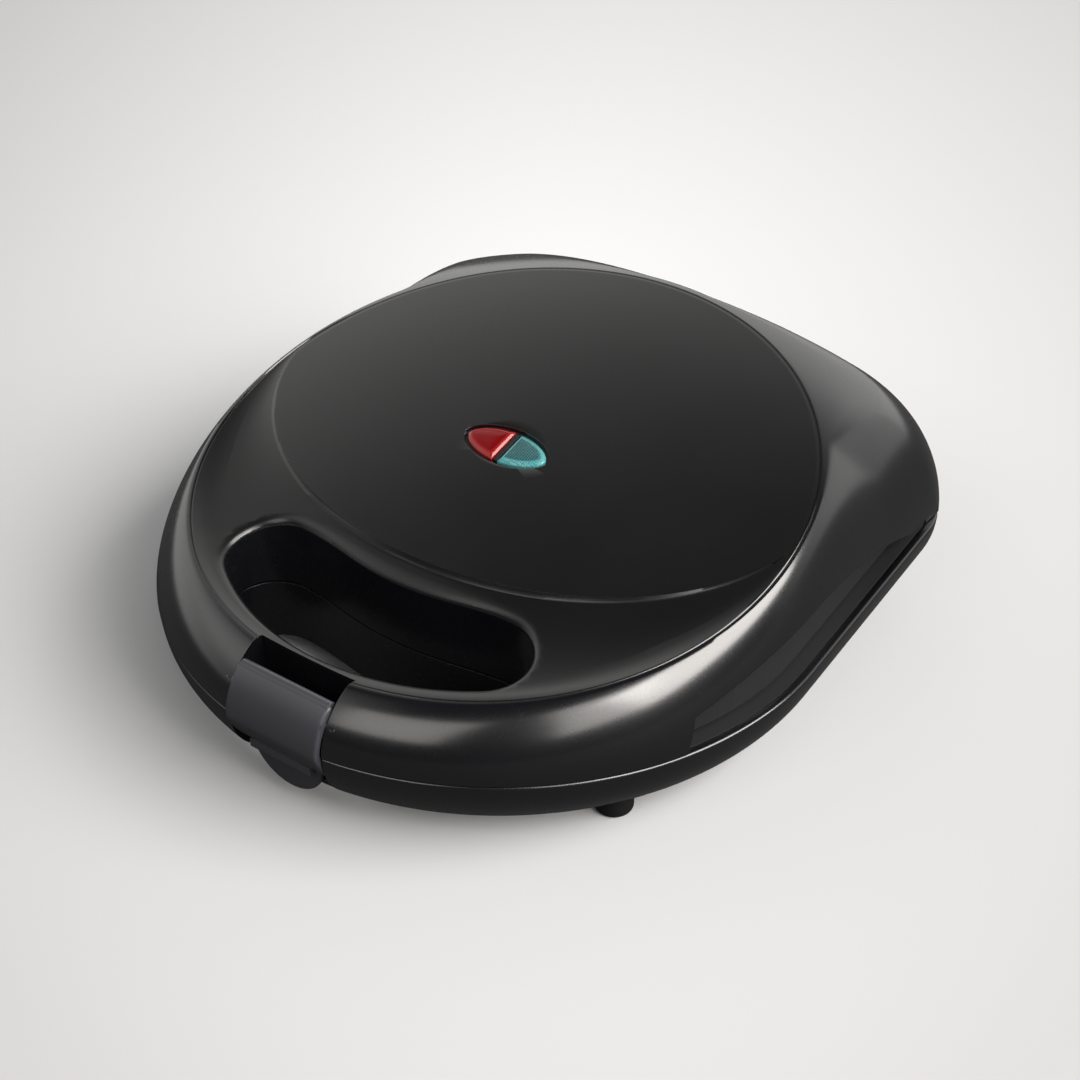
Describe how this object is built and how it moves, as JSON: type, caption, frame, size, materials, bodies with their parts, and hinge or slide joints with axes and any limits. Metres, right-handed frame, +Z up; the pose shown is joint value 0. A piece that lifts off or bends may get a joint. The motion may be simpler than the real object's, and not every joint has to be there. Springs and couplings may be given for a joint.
{
  "type": "donut maker",
  "caption": "Electric clamshell maker for small ring cakes: hinged domed lid, finger slot, pivoting front latch, indicator lenses and ring-moulded cooking plates.",
  "frame": {"origin": "middle of the footprint, at the level the feet stand on", "axes": "+X to the right and +Y to the rear (the hinge) for a user at the front, +Z up; the latch and finger slot are on the -Y side"},
  "size_m": [0.2272, 0.2524, 0.0906],
  "materials": {
    "gloss_black": "gloss",
    "satin_black": "satin",
    "frame_black": "matte",
    "nonstick_cast": "satin non-stick coat",
    "steel": "satin",
    "sheet": "satin",
    "ceramic": "matte",
    "lens_red": "clear gloss",
    "lens_green": "clear gloss",
    "lamp_glass": "clear",
    "silicone": "matte",
    "rubber": "satin"
  },
  "bodies": {
    "base": {"bottom_cover": "gloss_black", "base_inner_frame": "frame_black", "lower_cooking_plate": "nonstick_cast", "lower_heating_element": "steel", "lower_element_clips": "sheet", "lower_heat_shield": "sheet", "lower_shield_screws": "steel", "lower_plate_screws": "steel", "base_screws": "steel", "terminal_block": "ceramic", "thermal_fuse": "silicone", "base_leads": "silicone", "cord_bush": "rubber", "feet": "rubber", "foot_screws": "steel", "base_hinge_brackets": "gloss_black", "hinge_pins": "steel"},
    "lid": {"top_cover": "gloss_black", "lid_inner_frame": "frame_black", "upper_cooking_plate": "nonstick_cast", "upper_heating_element": "steel", "upper_element_clips": "sheet", "upper_heat_shield": "sheet", "upper_shield_screws": "steel", "upper_plate_screws": "steel", "lid_screws": "steel", "thermostat": "ceramic", "indicator_lens_red": "lens_red", "indicator_lens_green": "lens_green", "neon_lamps": "lamp_glass", "lamp_holder": "ceramic", "lid_leads": "silicone", "latch_pin": "steel", "lid_hinge_arms": "gloss_black"},
    "latch": {"latch": "satin_black"}
  },
  "joints": [
    {"name": "lid_hinge", "type": "hinge", "parent": "base", "child": "lid", "pos_m": [0, 0.1207, 0.031], "axis": [-1, 0, 0], "range_deg": [0, 100]},
    {"name": "latch_pivot", "type": "hinge", "parent": "lid", "child": "latch", "pos_m": [0, -0.1194, 0.0402], "axis": [-1, 0, 0], "range_deg": [0, 25]}
  ]
}
